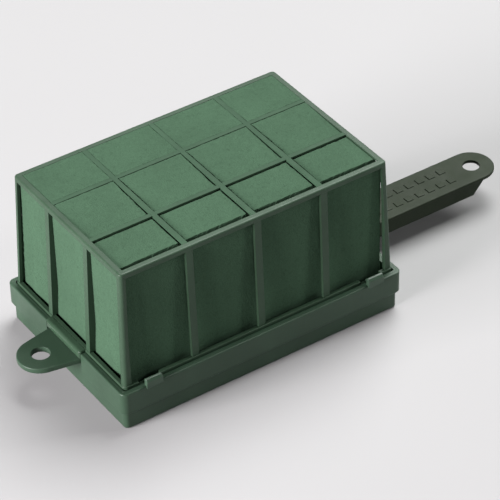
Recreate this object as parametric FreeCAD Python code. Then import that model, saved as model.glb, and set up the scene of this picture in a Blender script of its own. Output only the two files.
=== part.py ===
"""Floral foam brick held in a plastic cage that snaps into a shallow tray.

Frame: origin at the centre of the tray's underside, +X towards the carry handle,
+Z up. The front is the long side at -Y. Millimetres throughout.
"""
import FreeCAD, Part
import math
import os

# Tray moulding: a low tub with a proud band round its upper half.
TRAY_LENGTH = 143.4
TRAY_WIDTH = 94.8
TRAY_HEIGHT = 20.0
TRAY_CORNER_R = 3.0
TUB_CORNER_R = 2.0
TUB_WALL = 1.0
TUB_FLOOR = 1.6
SKIRT_WALL = 1.5
SKIRT_LOW_Z = 9.0
NOTCH_WIDTH = 28.0
NOTCH_Z = 16.9

# Hanging ear on the left end and carry handle on the right end.
EAR_HOLE_X = -83.1
EAR_HOLE_R = 4.2
EAR_R = 10.4
EAR_ROOT_HALF_WIDTH = 13.0
EAR_TOP_Z = 16.7
EAR_THICK = 2.6
HANDLE_HOLE_X = 146.4
HANDLE_HOLE_R = 4.0
HANDLE_HALF_WIDTH = 10.6
HANDLE_TOP_Z = 16.5
HANDLE_PLATE = 1.5
HANDLE_DEPTH = 7.8
HANDLE_WALL = 1.5
RIB_ROWS_Y = (-4.0, 4.0)
RIB_COUNT = 9
RIB_SIZE = (3.6, 3.4, 0.35)
RIB_START_X = 82.0
RIB_PITCH = 6.0

# Cage moulding: drafted, widest where it drops into the tray.
CAGE_TOP_LENGTH = 133.0
CAGE_TOP_WIDTH = 84.5
CAGE_BASE_LENGTH = 137.2
CAGE_BASE_WIDTH = 88.0
CAGE_CORNER_R = 1.6
CAGE_TOP_Z = 78.0
RAIL_TOP_Z = 21.2
RAIL_LOW_Z = 16.0
RAIL_NOTCH_Z = 19.4
CAGE_WALL = 1.5
BASE_LEDGE = 0.4
RIB_INNER_X = 65.0
TOP_RAIL_WIDTH = 2.7
TOP_RAIL_TALL = 2.4
TOP_BAR_WIDTH = 2.2
TOP_BAR_THICK = 0.9
POST_WIDTH = 2.7
POST_RIB_WIDTH = 2.2
FRONT_BAR_WIDTH = 3.3
END_BAR_WIDTH = 3.0
CROSS_BAR_X = (-33.3, 0.4, 33.9)
LONG_BAR_Y = (-15.2, 15.2)

# Lips that fill the notches in the tray's ends.
LIP_WIDTH = 27.2
LIP_OUT_X = 72.4
LIP_LOW_Z = 17.0

# Snap clips: an upright tab outside the tray's rim on a narrower bridge over it.
CLIP_X = (-56.4, 57.0)
CLIP_WIDTH = 7.8
CLIP_GAP = 1.5
CLIP_HINGE_Y = 44.0
CLIP_HINGE_Z = 20.3
CLIP_ROOT_R = 0.7
BRIDGE_WIDTH = 4.5
BRIDGE_TOP_Z = 21.3
TAB_IN_Y = 46.4
TAB_HOOK_Y = 47.7
TAB_OUT_Y = 48.5
TAB_TOP_Z = 24.0
TAB_UNDER_Z = 20.3
TAB_LOW_Z = 19.5

# Foam block, a straight cut brick standing on the tray's floor.
FOAM_LENGTH = 129.8
FOAM_WIDTH = 81.2
FOAM_LOW_Z = 1.9
FOAM_TOP_Z = 76.8


def box(x0, y0, z0, x1, y1, z1):
    """Axis-aligned box between two corners."""
    return Part.makeBox(x1 - x0, y1 - y0, z1 - z0, FreeCAD.Vector(x0, y0, z0))


def rounded_wire(length, width, radius, z):
    """Rounded rectangle centred on the Z axis."""
    a = length / 2 - radius
    b = width / 2 - radius
    h = radius * 0.5 ** 0.5
    corners = ((a, b, 1, 1), (-a, b, -1, 1), (-a, -b, -1, -1), (a, -b, 1, -1))
    edges = []
    ends = []
    for i, (cx, cy, sx, sy) in enumerate(corners):
        along_x = FreeCAD.Vector(cx + sx * radius, cy, z)
        along_y = FreeCAD.Vector(cx, cy + sy * radius, z)
        middle = FreeCAD.Vector(cx + sx * h, cy + sy * h, z)
        first, last = (along_x, along_y) if i % 2 == 0 else (along_y, along_x)
        if ends:
            edges.append(Part.makeLine(ends[-1], first))
        edges.append(Part.Arc(first, middle, last).toShape())
        ends += [first, last]
    edges.append(Part.makeLine(ends[-1], ends[0]))
    return Part.Wire(edges)


def rounded_block(length, width, radius, z0, z1):
    """Upright block with a rounded-rectangle plan."""
    face = Part.Face(rounded_wire(length, width, radius, z0))
    return face.extrude(FreeCAD.Vector(0, 0, z1 - z0))


def drafted_block(inset, z0, z1):
    """The cage's drafted outer form, moved in by inset on every side."""
    wires = []
    for z in (z0, z1):
        t = (z - RAIL_TOP_Z) / (CAGE_TOP_Z - RAIL_TOP_Z)
        length = CAGE_BASE_LENGTH + t * (CAGE_TOP_LENGTH - CAGE_BASE_LENGTH)
        width = CAGE_BASE_WIDTH + t * (CAGE_TOP_WIDTH - CAGE_BASE_WIDTH)
        radius = max(CAGE_CORNER_R - inset, 0.4)
        wires.append(rounded_wire(length - 2 * inset, width - 2 * inset, radius, z))
    return Part.makeLoft(wires, True, True)


def edges_at(shape, z):
    """Edges that lie wholly at height z."""
    return [e for e in shape.Edges if all(abs(v.Z - z) < 1e-4 for v in e.Vertexes)]


def save(name, shape):
    """Write one node."""
    shape = shape.removeSplitter()
    print(name, "solids", len(shape.Solids), "valid", shape.isValid(), "volume %.1f" % shape.Volume)
    shape.exportStep("parts/" + name + ".step")


def make_tray():
    """Tub, and the two halves of the band that the end notches leave."""
    inner_length = TRAY_LENGTH - 2 * SKIRT_WALL
    inner_width = TRAY_WIDTH - 2 * SKIRT_WALL
    tub = rounded_block(inner_length, inner_width, TUB_CORNER_R, 0, TRAY_HEIGHT)
    tub = tub.makeFillet(0.9, edges_at(tub, 0))
    hollow = rounded_block(inner_length - 2 * TUB_WALL, inner_width - 2 * TUB_WALL,
                           TUB_CORNER_R - TUB_WALL, TUB_FLOOR, TRAY_HEIGHT + 1)
    tub = tub.cut(hollow)
    half = NOTCH_WIDTH / 2
    tub = tub.cut(box(-80, -half, NOTCH_Z, 80, half, TRAY_HEIGHT + 1))
    save("tray_tub", tub)

    skirt = rounded_block(TRAY_LENGTH, TRAY_WIDTH, TRAY_CORNER_R, SKIRT_LOW_Z, TRAY_HEIGHT)
    skirt = skirt.makeFillet(0.6, edges_at(skirt, TRAY_HEIGHT) + edges_at(skirt, SKIRT_LOW_Z))
    skirt = skirt.cut(rounded_block(inner_length, inner_width, TUB_CORNER_R, 0, TRAY_HEIGHT + 1))
    save("tray_front_skirt", skirt.common(box(-80, -60, 0, 80, -half, 30)))
    save("tray_back_skirt", skirt.common(box(-80, half, 0, 80, 60, 30)))
    return inner_length / 2


def make_ear(wall_x):
    """Flat hanging ear: a disc with tangent sides that widen to the tray's wall."""
    low = EAR_TOP_Z - EAR_THICK
    disc = Part.makeCylinder(EAR_R, EAR_THICK, FreeCAD.Vector(EAR_HOLE_X, 0, low))
    reach = -wall_x - EAR_HOLE_X
    root = EAR_ROOT_HALF_WIDTH
    angle = math.atan2(root, reach) + math.acos(EAR_R / math.hypot(root, reach))
    tangent_x = EAR_HOLE_X + EAR_R * math.cos(angle)
    tangent_y = EAR_R * math.sin(angle)
    outline = [(-wall_x, -root), (-wall_x, root), (tangent_x, tangent_y), (tangent_x, -tangent_y)]
    points = [FreeCAD.Vector(x, y, low) for x, y in outline + outline[:1]]
    neck = Part.Face(Part.makePolygon(points)).extrude(FreeCAD.Vector(0, 0, EAR_THICK))
    ear = disc.fuse(neck).removeSplitter()
    rims = [e for e in edges_at(ear, EAR_TOP_Z) + edges_at(ear, low)
            if e.BoundBox.XMin < -wall_x - 0.5]
    ear = ear.makeFillet(0.5, rims)
    hole = Part.makeCylinder(EAR_HOLE_R, 10, FreeCAD.Vector(EAR_HOLE_X, 0, low - 3))
    save("hanging_ear", ear.cut(hole))


def make_handle(wall_x):
    """Handle: flat plate with a round tip and two side walls turned down."""
    low = HANDLE_TOP_Z - HANDLE_PLATE
    w = HANDLE_HALF_WIDTH
    tip = Part.makeCylinder(w, HANDLE_PLATE, FreeCAD.Vector(HANDLE_HOLE_X, 0, low))
    plate = tip.fuse(box(wall_x, -w, low, HANDLE_HOLE_X, w, HANDLE_TOP_Z)).removeSplitter()
    rims = [e for e in edges_at(plate, HANDLE_TOP_Z) if e.BoundBox.XMax > wall_x + 0.5]
    plate = plate.makeFillet(0.5, rims)
    hole = Part.makeCylinder(HANDLE_HOLE_R, 10, FreeCAD.Vector(HANDLE_HOLE_X, 0, low - 3))
    save("handle_plate", plate.cut(hole))

    floor = HANDLE_TOP_Z - HANDLE_DEPTH
    end = HANDLE_HOLE_X - 1.0
    outline = [(wall_x, low), (end, low), (end - 5.5, floor), (wall_x, floor), (wall_x, low)]
    for name, y in (("handle_front_wall", -w), ("handle_back_wall", w - HANDLE_WALL)):
        points = [FreeCAD.Vector(x, y, z) for x, z in outline]
        wall = Part.Face(Part.makePolygon(points)).extrude(FreeCAD.Vector(0, HANDLE_WALL, 0))
        save(name, wall)

    ribs = []
    length, width, tall = RIB_SIZE
    for y in RIB_ROWS_Y:
        for i in range(RIB_COUNT):
            x = RIB_START_X + i * RIB_PITCH
            rib = box(x, y - width / 2, HANDLE_TOP_Z, x + length, y + width / 2, HANDLE_TOP_Z + tall)
            ribs.append(rib.makeFillet(0.3, edges_at(rib, HANDLE_TOP_Z + tall)))
    Part.makeCompound(ribs).exportStep("parts/handle_grip_ribs.step")


def make_cage_walls():
    """Posts, side bars and the rails at the top and the base of the cage."""
    outer = drafted_block(0, RAIL_TOP_Z, CAGE_TOP_Z)
    outer = outer.makeFillet(0.8, edges_at(outer, CAGE_TOP_Z))
    top_low = CAGE_TOP_Z - TOP_RAIL_TALL
    flange_low = CAGE_TOP_Z - TOP_BAR_THICK
    flange_hole = drafted_block(TOP_RAIL_WIDTH, RAIL_TOP_Z, CAGE_TOP_Z + 1)
    wall_hole = drafted_block(CAGE_WALL, RAIL_TOP_Z, CAGE_TOP_Z + 1)
    wall_hole = wall_hole.common(box(-90, -60, 0, 90, 60, flange_low))
    rail_ring = outer.cut(flange_hole).cut(wall_hole)
    rail_ring = rail_ring.common(box(-90, -60, top_low, 90, 60, 90))
    split_y = CAGE_TOP_WIDTH / 2 - TOP_RAIL_WIDTH - 0.5
    save("cage_top_front_rail", rail_ring.common(box(-90, -60, 0, 90, -split_y, 90)))
    save("cage_top_back_rail", rail_ring.common(box(-90, split_y, 0, 90, 60, 90)))
    save("cage_top_left_rail", rail_ring.common(box(-90, -split_y, 0, 0, split_y, 90)))
    save("cage_top_right_rail", rail_ring.common(box(0, -split_y, 0, 90, split_y, 90)))

    base = rounded_block(CAGE_BASE_LENGTH + 2 * BASE_LEDGE, CAGE_BASE_WIDTH + 2 * BASE_LEDGE,
                         CAGE_CORNER_R + BASE_LEDGE, RAIL_LOW_Z, RAIL_TOP_Z)
    base = base.makeFillet(0.3, edges_at(base, RAIL_TOP_Z))
    base = base.cut(rounded_block(CAGE_BASE_LENGTH - 2 * CAGE_WALL, CAGE_BASE_WIDTH - 2 * CAGE_WALL,
                                  0.5, 0, 90))
    below_rail = outer.common(box(-90, -60, 0, 90, 60, top_low))
    shell = below_rail.cut(drafted_block(CAGE_WALL, RAIL_TOP_Z, CAGE_TOP_Z + 1))
    end_ribs = below_rail.cut(box(-RIB_INNER_X, -60, 0, RIB_INNER_X, 60, 90))
    corner_x = CAGE_TOP_LENGTH / 2 - POST_WIDTH
    corner_y = CAGE_TOP_WIDTH / 2 - POST_WIDTH

    inner_x = corner_x + 2.1
    inner_y = corner_y + 1.7
    foot = base.cut(box(-inner_x, -60, 0, inner_x, 60, 90)).cut(box(-90, -inner_y, 0, 90, inner_y, 90))
    legs = shell.cut(slot(POST_WIDTH, True)).cut(slot(POST_WIDTH, False))
    posts = legs.fuse(end_ribs.cut(slot(POST_RIB_WIDTH, False))).fuse(foot)
    for side, sx in (("left", -1), ("right", 1)):
        for face, sy in (("front", -1), ("back", 1)):
            quarter = box(min(0, sx * 90), min(0, sy * 60), 0, max(0, sx * 90), max(0, sy * 60), 90)
            save("cage_post_%s_%s" % (face, side), posts.common(quarter))

    half = FRONT_BAR_WIDTH / 2
    for face, sy in (("front", -1), ("back", 1)):
        for label, x in zip(("left", "middle", "right"), CROSS_BAR_X):
            y0, y1 = sorted((sy * 20, sy * 60))
            save("cage_%s_bar_%s" % (face, label), shell.common(box(x - half, y0, 0, x + half, y1, 90)))
    half = END_BAR_WIDTH / 2
    for side, sx in (("left", -1), ("right", 1)):
        for label, y in zip(("front", "back"), LONG_BAR_Y):
            x0, x1 = sorted((sx * 40, sx * 90))
            save("cage_%s_bar_%s" % (side, label), end_ribs.common(box(x0, y - half, 0, x1, y + half, 90)))

    gap = CLIP_WIDTH / 2 + CLIP_GAP
    for face, sy in (("front", -1), ("back", 1)):
        y0, y1 = sorted((sy * 20, sy * 60))
        rail = base.common(box(-inner_x, y0, 0, inner_x, y1, 90))
        for x in CLIP_X:
            rail = rail.cut(box(x - gap, y0, RAIL_NOTCH_Z, x + gap, y1, 90))
        save("cage_base_%s_rail" % face, rail)
    for side, sx in (("left", -1), ("right", 1)):
        x0, x1 = sorted((sx * 40, sx * 90))
        save("cage_base_%s_rail" % side, base.common(box(x0, -inner_y, 0, x1, inner_y, 90)))


def slot(margin, along_y):
    """A drafted slot right through the cage, margin short of it on two sides."""
    wires = []
    for z in (RAIL_TOP_Z - 5, CAGE_TOP_Z + 5):
        t = (z - RAIL_TOP_Z) / (CAGE_TOP_Z - RAIL_TOP_Z)
        length = CAGE_BASE_LENGTH + t * (CAGE_TOP_LENGTH - CAGE_BASE_LENGTH) - 2 * margin
        width = CAGE_BASE_WIDTH + t * (CAGE_TOP_WIDTH - CAGE_BASE_WIDTH) - 2 * margin
        a, b = (length / 2, 70) if along_y else (90, width / 2)
        points = [FreeCAD.Vector(x, y, z) for x, y in ((-a, -b), (a, -b), (a, b), (-a, b), (-a, -b))]
        wires.append(Part.makePolygon(points))
    return Part.makeLoft(wires, True, True)


def make_top_bars():
    """Grid of thin bars: three across the cage, two along it."""
    low = CAGE_TOP_Z - TOP_BAR_THICK
    inside = drafted_block(TOP_RAIL_WIDTH, RAIL_TOP_Z, CAGE_TOP_Z).common(box(-90, -60, low, 90, 60, 90))
    half = TOP_BAR_WIDTH / 2
    across = [box(x - half, -60, 0, x + half, 60, 90) for x in CROSS_BAR_X]
    for label, slab in zip(("left", "middle", "right"), across):
        save("cage_top_cross_bar_" + label, inside.common(slab))
    for label, y in zip(("front", "back"), LONG_BAR_Y):
        bar = inside.common(box(-90, y - half, 0, 90, y + half, 90))
        for slab in across:
            bar = bar.cut(slab)
        save("cage_top_long_bar_" + label, bar)


def make_lips():
    """Rounded lip at each end of the cage, lying in the tray's notch."""
    rail_x = CAGE_BASE_LENGTH / 2 + BASE_LEDGE
    half = LIP_WIDTH / 2
    for side, sx in (("left", -1), ("right", 1)):
        x0, x1 = sorted((sx * rail_x, sx * LIP_OUT_X))
        lip = box(x0, -half, LIP_LOW_Z, x1, half, RAIL_TOP_Z)
        face_x = sx * LIP_OUT_X
        outer = [e for e in lip.Edges if all(abs(v.X - face_x) < 1e-4 for v in e.Vertexes)]
        save("cage_%s_lip" % side, lip.makeFillet(1.6, outer))


def make_clips():
    """Snap clips: round root, low bridge over the rim, upright tab with a short hook."""
    for face, sy in (("front", -1), ("back", 1)):
        for side, x in zip(("left", "right"), CLIP_X):
            profile = [(TAB_IN_Y, TAB_UNDER_Z), (TAB_HOOK_Y, TAB_UNDER_Z), (TAB_HOOK_Y, TAB_LOW_Z),
                       (TAB_OUT_Y, TAB_LOW_Z), (TAB_OUT_Y, TAB_TOP_Z - 1.4),
                       (TAB_OUT_Y - 0.7, TAB_TOP_Z - 0.3), (TAB_IN_Y + 0.6, TAB_TOP_Z),
                       (TAB_IN_Y, TAB_TOP_Z - 0.4)]
            points = [FreeCAD.Vector(x - CLIP_WIDTH / 2, sy * y, z) for y, z in profile + profile[:1]]
            tab = Part.Face(Part.makePolygon(points)).extrude(FreeCAD.Vector(CLIP_WIDTH, 0, 0))
            rounded = [e for e in tab.Edges if all(v.Z > TAB_UNDER_Z + 0.5 for v in e.Vertexes)]
            tab = tab.makeFillet(0.3, rounded)
            half = BRIDGE_WIDTH / 2
            y0, y1 = sorted((sy * CLIP_HINGE_Y, sy * (TAB_IN_Y + 0.4)))
            bridge = box(x - half, y0, TAB_UNDER_Z, x + half, y1, BRIDGE_TOP_Z)
            root = Part.makeCylinder(CLIP_ROOT_R, BRIDGE_WIDTH,
                                     FreeCAD.Vector(x - half, sy * CLIP_HINGE_Y, CLIP_HINGE_Z),
                                     FreeCAD.Vector(1, 0, 0))
            save("snap_clip_%s_%s" % (face, side), tab.fuse(bridge).fuse(root))


def make_foam():
    """Straight foam block with its edges just broken."""
    foam = box(-FOAM_LENGTH / 2, -FOAM_WIDTH / 2, FOAM_LOW_Z, FOAM_LENGTH / 2, FOAM_WIDTH / 2, FOAM_TOP_Z)
    save("foam_block", foam.makeChamfer(0.3, foam.Edges))


os.makedirs("parts", exist_ok=True)
end_wall_x = make_tray()
make_ear(end_wall_x)
make_handle(end_wall_x)
make_cage_walls()
make_top_bars()
make_lips()
make_clips()
make_foam()
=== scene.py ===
import bpy
from mathutils import Matrix, Vector, noise


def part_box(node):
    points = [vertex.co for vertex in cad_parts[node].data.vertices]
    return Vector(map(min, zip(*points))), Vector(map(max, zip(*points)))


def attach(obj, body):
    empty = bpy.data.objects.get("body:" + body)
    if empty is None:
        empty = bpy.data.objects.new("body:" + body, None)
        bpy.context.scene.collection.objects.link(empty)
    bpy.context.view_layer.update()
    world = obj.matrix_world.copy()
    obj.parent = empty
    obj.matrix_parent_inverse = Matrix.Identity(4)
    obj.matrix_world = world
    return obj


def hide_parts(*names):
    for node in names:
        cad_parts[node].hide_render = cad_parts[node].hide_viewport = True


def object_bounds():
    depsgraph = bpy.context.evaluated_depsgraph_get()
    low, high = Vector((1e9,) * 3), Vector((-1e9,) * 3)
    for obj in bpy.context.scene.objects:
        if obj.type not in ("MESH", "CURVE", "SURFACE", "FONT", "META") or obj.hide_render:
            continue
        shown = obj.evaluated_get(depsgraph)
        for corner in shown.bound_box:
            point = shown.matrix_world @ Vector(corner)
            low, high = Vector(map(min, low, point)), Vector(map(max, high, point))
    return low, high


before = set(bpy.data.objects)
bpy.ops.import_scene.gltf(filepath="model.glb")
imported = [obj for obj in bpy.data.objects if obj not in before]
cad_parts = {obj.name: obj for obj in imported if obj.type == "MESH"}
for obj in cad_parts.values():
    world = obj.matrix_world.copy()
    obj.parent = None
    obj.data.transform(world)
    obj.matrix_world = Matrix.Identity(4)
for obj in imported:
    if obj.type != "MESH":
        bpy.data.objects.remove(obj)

cad_lo, cad_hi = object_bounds()
MM = 0.001

# Base colours, linear. The lights are balanced for these dark tones over a pale floor.
FOAM_GREEN = (0.037, 0.074, 0.044)
TRAY_GREEN = (0.026, 0.051, 0.031)
CAGE_GREEN = (0.025, 0.050, 0.029)
DUSTY_GREEN = (0.029, 0.060, 0.035)
CLIP_GREEN = (0.033, 0.061, 0.039)
HANDLE_OLIVE = (0.0165, 0.0245, 0.0130)
FLOOR_TONES = (0.295, 0.305)

# The cage's members that press on the foam's top, in millimetres.
BAR_HALF_WIDTH = 1.1
RAIL_FLAT = 2.7

# The foam's mesh and its worn top, in millimetres. Heights count from the brick's own top.
PITCH = 1.25
PITCH_Z = 1.35
CLOSE_TO_END = (0, 0.35, 0.7, 1.1, 1.5, 2.0, 2.6)
CLOSE_TO_MARK = (0.0, 1.1, 1.3, 1.5, 1.7, 1.9, 2.15, 2.4, 2.75)
UNDER_BAR = -0.45
RISE_AT_BACK = 1.56
RISE_LOST_AT_FRONT = 0.66
HIGHEST = 1.14
TORN_WIDTH = 2.65
TORN_DEPTH = 2.6
TORN_EDGE_MARK = 5.2

FLOOR_HALF_SIZE = 6.0
FLOOR_CLEARANCE = 0.0002

# Studio lights: name, place, size, power and colour. All aim at the middle of the brick.
AIM = (0.0, 0.0, 0.04)
WHITE = (1.0, 1.0, 1.0)
LIGHTS = [
    ("key_left", (-1.2, -0.035, 0.39), (0.62, 0.48), 51.0, (1.0, 0.955, 0.985)),
    ("top_right", (0.75, 0.35, 1.35), (1.1, 1.1), 55.0, WHITE),
    ("front_fill", (1.55, -0.72, 0.5), (0.3, 0.3), 14.0, WHITE),
]
WORLD_STRENGTH = 0.05

CAMERA_PLACE = (-0.48905, -0.78236, 0.75477)
CAMERA_RIGHT = (0.826862, -0.562006, -0.021167)
CAMERA_UP = (0.360141, 0.500207, 0.787459)
CAMERA_LENS = 195.3
CAMERA_SENSOR = 36.0


# ---------------------------------------------------------------- node helpers
class Nodes:
    """A small wrapper that adds and links shader nodes in one material."""

    def __init__(self, name):
        self.mat = bpy.data.materials.new(name)
        self.mat.use_nodes = True
        self.tree = self.mat.node_tree
        self.tree.nodes.clear()
        self.coord = self.add("ShaderNodeTexCoord").outputs["Object"]

    def add(self, kind, **values):
        node = self.tree.nodes.new(kind)
        for key, value in values.items():
            setattr(node, key, value)
        return node

    def put(self, socket, value):
        """Links an output to the socket, or sets the socket's constant."""
        if hasattr(value, "is_output"):
            self.tree.links.new(value, socket)
        else:
            socket.default_value = value

    def stretch(self, scale):
        """Object coordinates, scaled along each axis."""
        node = self.add("ShaderNodeMapping")
        self.put(node.inputs["Vector"], self.coord)
        node.inputs["Scale"].default_value = scale
        return node.outputs["Vector"]

    def noise(self, scale, detail=4.0, rough=0.6, vector=None, distortion=0.0):
        node = self.add("ShaderNodeTexNoise")
        self.put(node.inputs["Vector"], vector or self.coord)
        node.inputs["Scale"].default_value = scale
        node.inputs["Detail"].default_value = detail
        node.inputs["Roughness"].default_value = rough
        node.inputs["Distortion"].default_value = distortion
        return node.outputs["Fac"]

    def cells(self, scale, feature="F1"):
        node = self.add("ShaderNodeTexVoronoi", feature=feature)
        self.put(node.inputs["Vector"], self.coord)
        node.inputs["Scale"].default_value = scale
        return node.outputs["Distance"]

    def ramp(self, value, stops):
        """A colour ramp through (place, tone) stops; a tone is a grey or a colour."""
        node = self.add("ShaderNodeValToRGB")
        self.put(node.inputs["Fac"], value)
        points = node.color_ramp.elements
        while len(points) < len(stops):
            points.new(0.5)
        for point, (place, tone) in zip(points, stops):
            colour = tone if hasattr(tone, "__len__") else (tone, tone, tone)
            point.position = place
            point.color = (*colour, 1.0)
        return node.outputs["Color"]

    def mix(self, factor, a, b, blend="MIX"):
        node = self.add("ShaderNodeMix", data_type="RGBA", blend_type=blend)
        self.put(node.inputs["Factor"], factor)
        self.put(node.inputs["A"], (*a, 1.0) if isinstance(a, tuple) else a)
        self.put(node.inputs["B"], (*b, 1.0) if isinstance(b, tuple) else b)
        return node.outputs["Result"]

    def math(self, operation, a, b):
        node = self.add("ShaderNodeMath", operation=operation)
        self.put(node.inputs[0], a)
        self.put(node.inputs[1], b)
        return node.outputs[0]

    def bump(self, height, strength, distance, normal=None):
        node = self.add("ShaderNodeBump")
        self.put(node.inputs["Height"], height)
        node.inputs["Strength"].default_value = strength
        node.inputs["Distance"].default_value = distance
        if normal:
            self.put(node.inputs["Normal"], normal)
        return node.outputs["Normal"]

    def surface(self, colour, roughness, normal, **constants):
        shader = self.add("ShaderNodeBsdfPrincipled")
        self.put(shader.inputs["Base Color"], colour)
        self.put(shader.inputs["Roughness"], roughness)
        self.put(shader.inputs["Normal"], normal)
        for key, value in constants.items():
            shader.inputs[key.replace("_", " ")].default_value = value
        out = self.add("ShaderNodeOutputMaterial")
        self.put(out.inputs["Surface"], shader.outputs["BSDF"])
        return self.mat


def scaled(colour, k):
    return tuple(c * k for c in colour)


def plastic(name, colour, rough, edge, shine):
    """Semi-gloss moulded plastic: flow mottling, fine spark grain, faint scuffs.

    The edges are rounded over by edge millimetres, in the shading only.
    """
    n = Nodes(name)
    flow = n.noise(38.0, 5.0, 0.62, n.stretch((1.0, 1.0, 0.45)), 0.6)
    dark, light = scaled(colour, 0.86), scaled(colour, 1.16)
    base = n.ramp(flow, [(0.3, dark), (0.52, colour), (0.74, light)])
    speck = n.noise(900.0, 2.0, 0.5)
    base = n.mix(n.ramp(speck, [(0.6, 0.0), (0.78, 0.35)]), base, scaled(colour, 1.45))
    scratch = n.noise(260.0, 3.0, 0.7, n.stretch((0.16, 1.0, 1.0)), 0.3)
    base = n.mix(n.ramp(scratch, [(0.62, 0.0), (0.8, 0.3)]), base, scaled(colour, 1.3))
    handling = n.noise(120.0, 4.0, 0.6)
    roughness = n.ramp(handling, [(0.3, rough - 0.08), (0.7, rough + 0.1)])
    spark = n.math("MULTIPLY", n.noise(1500.0, 2.0, 0.5), 0.5)
    grain = n.math("ADD", spark, n.noise(55.0, 3.0, 0.5))
    round_edge = n.add("ShaderNodeBevel", samples=4)
    round_edge.inputs["Radius"].default_value = edge * MM
    normal = n.bump(grain, 0.25, 0.0001, round_edge.outputs["Normal"])
    return n.surface(base, roughness, normal, Specular_IOR_Level=shine)


def foam_material():
    """Dry floral foam: fine open cells, soft mottling, saw streaks on the cut sides."""
    colour = FOAM_GREEN
    n = Nodes("floral_foam")
    cloud = n.noise(24.0, 6.0, 0.6)
    dark, light = scaled(colour, 0.88), scaled(colour, 1.12)
    base = n.ramp(cloud, [(0.3, dark), (0.5, colour), (0.72, light)])
    streak = n.noise(300.0, 3.0, 0.6, n.stretch((1.0, 1.0, 0.05)))
    base = n.mix(n.ramp(streak, [(0.45, 0.0), (0.75, 0.28)]), base, scaled(colour, 1.25))
    pores = n.cells(1500.0)
    base = n.mix(n.ramp(pores, [(0.05, 0.55), (0.5, 0.0)]), base, scaled(colour, 0.62))
    pits = n.noise(520.0, 5.0, 0.75)
    base = n.mix(n.ramp(pits, [(0.3, 0.5), (0.46, 0.0)]), base, scaled(colour, 0.55))
    crumbs = n.noise(700.0, 2.0, 0.6, distortion=1.0)
    base = n.mix(n.ramp(crumbs, [(0.62, 0.0), (0.76, 0.5)]), base, scaled(colour, 1.35))
    height = n.math("ADD", n.math("MULTIPLY", pores, 0.6), n.noise(420.0, 6.0, 0.7))
    height = n.math("ADD", height, n.math("MULTIPLY", streak, 0.5))
    normal = n.bump(height, 0.55, 0.0003)
    rough = n.ramp(pits, [(0.3, 0.97), (0.7, 0.86)])
    return n.surface(base, rough, normal, Specular_IOR_Level=0.1)


def floor_material():
    """Matt pale paper."""
    n = Nodes("studio_floor")
    tone = n.ramp(n.noise(3.0, 2.0, 0.5), [(0.3, FLOOR_TONES[0]), (0.7, FLOOR_TONES[1])])
    normal = n.bump(n.noise(400.0, 2.0, 0.5), 0.02, 0.0001)
    return n.surface(tone, 0.95, normal, Specular_IOR_Level=0.1)


# ---------------------------------------------------------------- foam brick
def lines(lo, hi, pitch, marks):
    """Grid lines from lo to hi: close by the ends and each mark, about pitch apart between."""
    places = {round(lo + k, 3) for k in CLOSE_TO_END}
    places |= {round(hi - k, 3) for k in CLOSE_TO_END}
    for mark in marks:
        places |= {round(mark + side * k, 3) for k in CLOSE_TO_MARK for side in (-1, 1)}
    ordered = sorted(places)
    out = []
    for a, b in zip(ordered, ordered[1:]):
        count = max(1, round((b - a) / pitch))
        out += [a + (b - a) * i / count for i in range(count)]
    return out + [ordered[-1]]


def smooth(low, high, value):
    """Eases from 0 at low to 1 at high; low may be the larger."""
    t = min(max((value - low) / (high - low), 0.0), 1.0)
    return t * t * (3 - 2 * t)


def centre_line(node, axis):
    """The middle of a CAD node along one axis, in millimetres."""
    lo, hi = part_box(node)
    return (lo[axis] + hi[axis]) / 2 / MM


def crumble(p, seed):
    return noise.noise(Vector((p.x * 0.55, p.y * 0.55, p.z * 0.55 + seed)))


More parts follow.
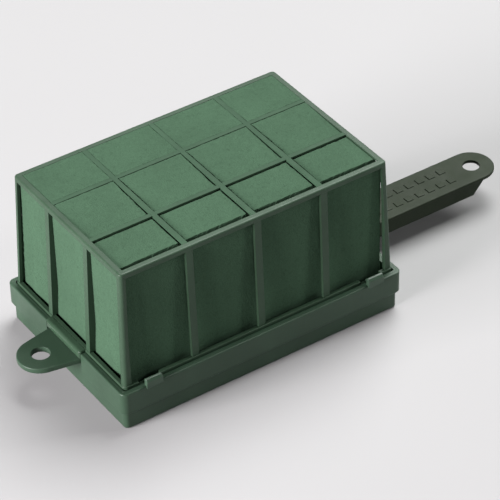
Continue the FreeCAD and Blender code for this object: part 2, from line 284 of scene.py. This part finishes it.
def make_foam():
    """The brick: cut faces, crumbled edges, a furrow under each top bar, a torn front edge."""
    lo, hi = (Vector(c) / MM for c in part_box("foam_block"))
    bar_x = [centre_line("cage_top_cross_bar_" + s, 0) for s in ("left", "middle", "right")]
    bar_y = [centre_line("cage_top_long_bar_" + s, 1) for s in ("front", "back")]
    xs = lines(lo.x, hi.x, PITCH, bar_x)
    ys = lines(lo.y, hi.y, PITCH, bar_y + [lo.y + TORN_EDGE_MARK])
    zs = lines(lo.z, hi.z, PITCH_Z, [])
    nx, ny, nz = len(xs) - 1, len(ys) - 1, len(zs) - 1
    inner_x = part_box("cage_top_right_rail")[1][0] / MM - RAIL_FLAT
    inner_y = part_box("cage_top_back_rail")[1][1] / MM - RAIL_FLAT
    index, points = {}, []

    def top_height(p):
        """How far the top stands above the brick's own height: flush with the bars at the back,
        lower and more deeply furrowed towards the front."""
        near = smooth(18.0, -20.0, p.y)
        wide = 0.12 + 0.38 * near
        ragged = 0.24 * crumble(p, 9.0) + 0.16 * noise.noise(p * 1.9)
        to_cross_bar = min(abs(p.x - x) for x in bar_x)
        to_long_bar = min(abs(p.y - y) for y in bar_y)
        gap = min(to_cross_bar, to_long_bar) - BAR_HALF_WIDTH + 0.45 * smooth(8.0, 20.0, p.y)
        to_rail = min(inner_x + 0.25 - abs(p.x), inner_y + 0.3 - p.y)
        clear = smooth(0.0, 0.4, gap - wide * 0.75 + ragged) * smooth(0.0, 0.3, to_rail)
        rise = RISE_AT_BACK - RISE_LOST_AT_FRONT * near + 0.10 * noise.noise(p * 0.09)
        level = UNDER_BAR + clear * rise + 0.05 * noise.noise(p * 1.3)
        narrower = 0.5 * smooth(-54.0, -61.0, p.x)
        behind_tear = p.y + inner_y - TORN_WIDTH + 1.1 * ragged + narrower
        return min(level, HIGHEST) - TORN_DEPTH * smooth(0.12, -0.12, behind_tear)

    def swelling(p):
        """How far the left, right and back faces stand out, as the cage lets them."""
        low_left_back = smooth(70.0, 20.0, p.z) * smooth(-10.0, -62.0, p.x) * smooth(24.0, 40.0, p.y)
        left_foot = 0.9 * smooth(38.0, 20.0, p.z) * smooth(38.0, 30.0, abs(p.y))
        back_left_edge = 0.35 * smooth(-55.0, -64.0, p.x) * smooth(36.0, 40.0, p.y)
        front_right_edge = 0.85 * smooth(-28.0, -38.0, p.y)
        return low_left_back + left_foot, -front_right_edge, 1.3 * low_left_back + back_left_edge

    def vertex(i, j, k):
        """The number of the surface point at grid place i, j, k, made on its first use."""
        key = (i, j, k)
        if key in index:
            return index[key]
        p = Vector((xs[i], ys[j], zs[k]))
        q = p.copy()
        out = ((i == nx) - (i == 0), (j == ny) - (j == 0), (k == nz) - (k == 0))
        from_edge = sorted(min(p[a] - lo[a], hi[a] - p[a]) for a in range(3))[1]
        chip = max(0.0, crumble(p, 3.0) + 0.1) * smooth(1.2, 0.0, from_edge) * 0.3
        wear = 0.08 * smooth(0.5, 0.0, from_edge) + chip
        pits = 0.07 * noise.noise(p * 0.8) + 0.04 * noise.noise(p * 2.1) - 0.03
        left, right, rear = swelling(p)
        spread = (left * (i == 0) + right * (i == nx), rear * (j == ny), 0.0)
        for axis in range(3):
            if out[axis]:
                q[axis] += out[axis] * (pits - wear + spread[axis])
        if k == nz:
            q.z = hi.z + top_height(p) - wear * 0.5
        if k == 0:
            q.z = lo.z + 0.02
        index[key] = len(points)
        points.append(q * MM)
        return index[key]

    faces = []

    def sheet(na, nb, at, flip):
        """One side of the brick: na by nb quads between the points that at gives."""
        for a in range(na):
            for b in range(nb):
                quad = [at(a, b), at(a + 1, b), at(a + 1, b + 1), at(a, b + 1)]
                faces.append(quad[::-1] if flip else quad)

    sheet(nx, ny, lambda a, b: vertex(a, b, nz), False)
    sheet(nx, ny, lambda a, b: vertex(a, b, 0), True)
    sheet(nx, nz, lambda a, b: vertex(a, 0, b), False)
    sheet(nx, nz, lambda a, b: vertex(a, ny, b), True)
    sheet(ny, nz, lambda a, b: vertex(0, a, b), True)
    sheet(ny, nz, lambda a, b: vertex(nx, a, b), False)
    mesh = bpy.data.meshes.new("foam_brick")
    mesh.from_pydata(points, [], faces)
    mesh.update()
    for poly in mesh.polygons:
        # The top's own quads come first. Its steep ones are creased, so furrows stay crisp.
        steep = poly.index < nx * ny and poly.normal.z < 0.8
        poly.use_smooth = not steep
    piece = bpy.data.objects.new("foam_brick", mesh)
    bpy.context.scene.collection.objects.link(piece)
    mesh.materials.append(foam_material())
    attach(piece, "foam")
    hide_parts("foam_block")


# ---------------------------------------------------------------- carried-over nodes
def dress_nodes():
    """Gives each CAD node the look of the first prefix or suffix that fits its name."""
    tray = plastic("tray_plastic_look", TRAY_GREEN, rough=0.36, edge=0.4, shine=0.25)
    cage = plastic("cage_plastic_look", CAGE_GREEN, rough=0.44, edge=0.3, shine=0.22)
    handle = plastic("handle_plastic_look", HANDLE_OLIVE, rough=0.5, edge=0.35, shine=0.12)
    dusty = plastic("dusty_bar_look", DUSTY_GREEN, rough=0.62, edge=0.25, shine=0.1)
    lip = plastic("lip_plastic_look", CAGE_GREEN, rough=0.24, edge=0.3, shine=0.55)
    clip = plastic("clip_plastic_look", CLIP_GREEN, rough=0.36, edge=0.3, shine=0.3)
    for name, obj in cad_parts.items():
        if name.startswith("snap_clip"):
            look = clip
        elif name.startswith(("cage_top_cross", "cage_top_long")):
            look = dusty
        elif name.endswith("_lip"):
            look = lip
        elif name.startswith("cage"):
            look = cage
        elif name.startswith("handle"):
            look = handle
        else:
            look = tray
        if not obj.material_slots:
            obj.data.materials.append(look)
        for slot in obj.material_slots:
            slot.material = look


# ---------------------------------------------------------------- stage
def make_floor():
    s = FLOOR_HALF_SIZE
    mesh = bpy.data.meshes.new("floor")
    mesh.from_pydata([(-s, -s, 0), (s, -s, 0), (s, s, 0), (-s, s, 0)], [], [(0, 1, 2, 3)])
    floor = bpy.data.objects.new("floor", mesh)
    floor.location.z = cad_lo[2] - FLOOR_CLEARANCE
    bpy.context.scene.collection.objects.link(floor)
    mesh.materials.append(floor_material())


def area_light(name, place, size, power, colour):
    data = bpy.data.lights.new(name, "AREA")
    data.shape = "RECTANGLE"
    data.size, data.size_y = size
    data.energy = power
    data.color = colour
    lamp = bpy.data.objects.new(name, data)
    lamp.location = place
    lamp.rotation_mode = "QUATERNION"
    lamp.rotation_quaternion = (Vector(AIM) - Vector(place)).to_track_quat("-Z", "Y")
    bpy.context.scene.collection.objects.link(lamp)


def make_lights():
    """A low key from the left, a broad soft top light, a weak fill from the right front."""
    for light in LIGHTS:
        area_light(*light)
    world = bpy.data.worlds.new("studio")
    world.use_nodes = True
    ground = world.node_tree.nodes["Background"]
    ground.inputs["Color"].default_value = (*WHITE, 1.0)
    ground.inputs["Strength"].default_value = WORLD_STRENGTH
    bpy.context.scene.world = world


def make_camera():
    """A long lens a little over a metre away, looking down on the left front corner."""
    right, up = Vector(CAMERA_RIGHT), Vector(CAMERA_UP)
    back = right.cross(up)
    data = bpy.data.cameras.new("camera")
    data.sensor_width = CAMERA_SENSOR
    data.lens = CAMERA_LENS
    cam = bpy.data.objects.new("camera", data)
    turn = Matrix((right, up, back)).transposed().to_4x4()
    cam.matrix_world = Matrix.Translation(CAMERA_PLACE) @ turn
    bpy.context.scene.collection.objects.link(cam)
    bpy.context.scene.camera = cam


make_camera()
make_foam()
dress_nodes()
make_floor()
make_lights()
bpy.context.scene.view_settings.view_transform = "Standard"
